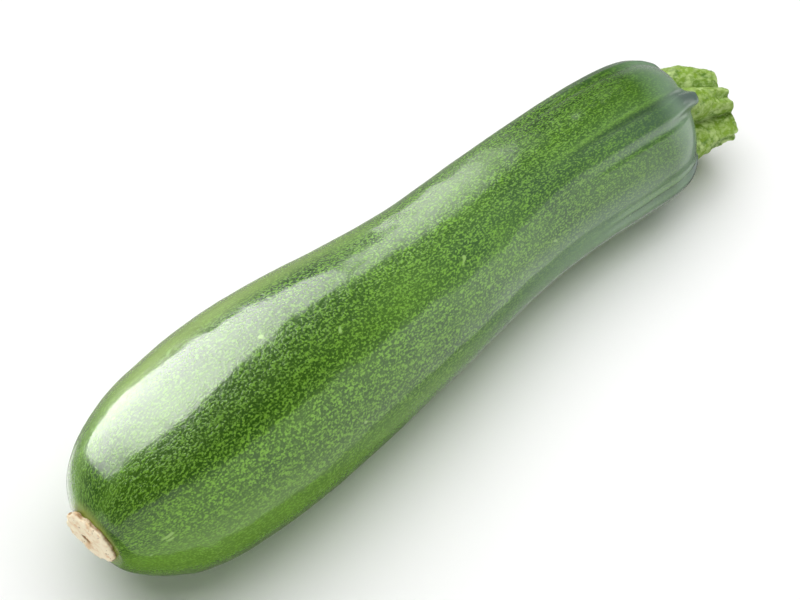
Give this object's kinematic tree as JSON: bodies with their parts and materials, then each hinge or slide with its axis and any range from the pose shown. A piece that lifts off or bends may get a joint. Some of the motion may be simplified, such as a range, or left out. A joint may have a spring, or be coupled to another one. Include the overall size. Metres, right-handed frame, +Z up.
{
  "type": "courgette",
  "caption": "Whole fresh courgette lying on its side: club-shaped dark green fruit, ridged stub of cut stalk and corky blossom scar.",
  "frame": {"origin": "middle of the bounding box at floor level, under the fruit", "axes": "+X along the fruit from the blossom end to the stalk, +Z up from the surface it lies on"},
  "size_m": [0.196, 0.0482, 0.048],
  "materials": {
    "skin": "gloss",
    "stalk": "matte",
    "cork": "matte"
  },
  "bodies": {
    "root": {"fruit": "skin", "stalk": "stalk", "blossom_scar": "cork"}
  },
  "joints": []
}
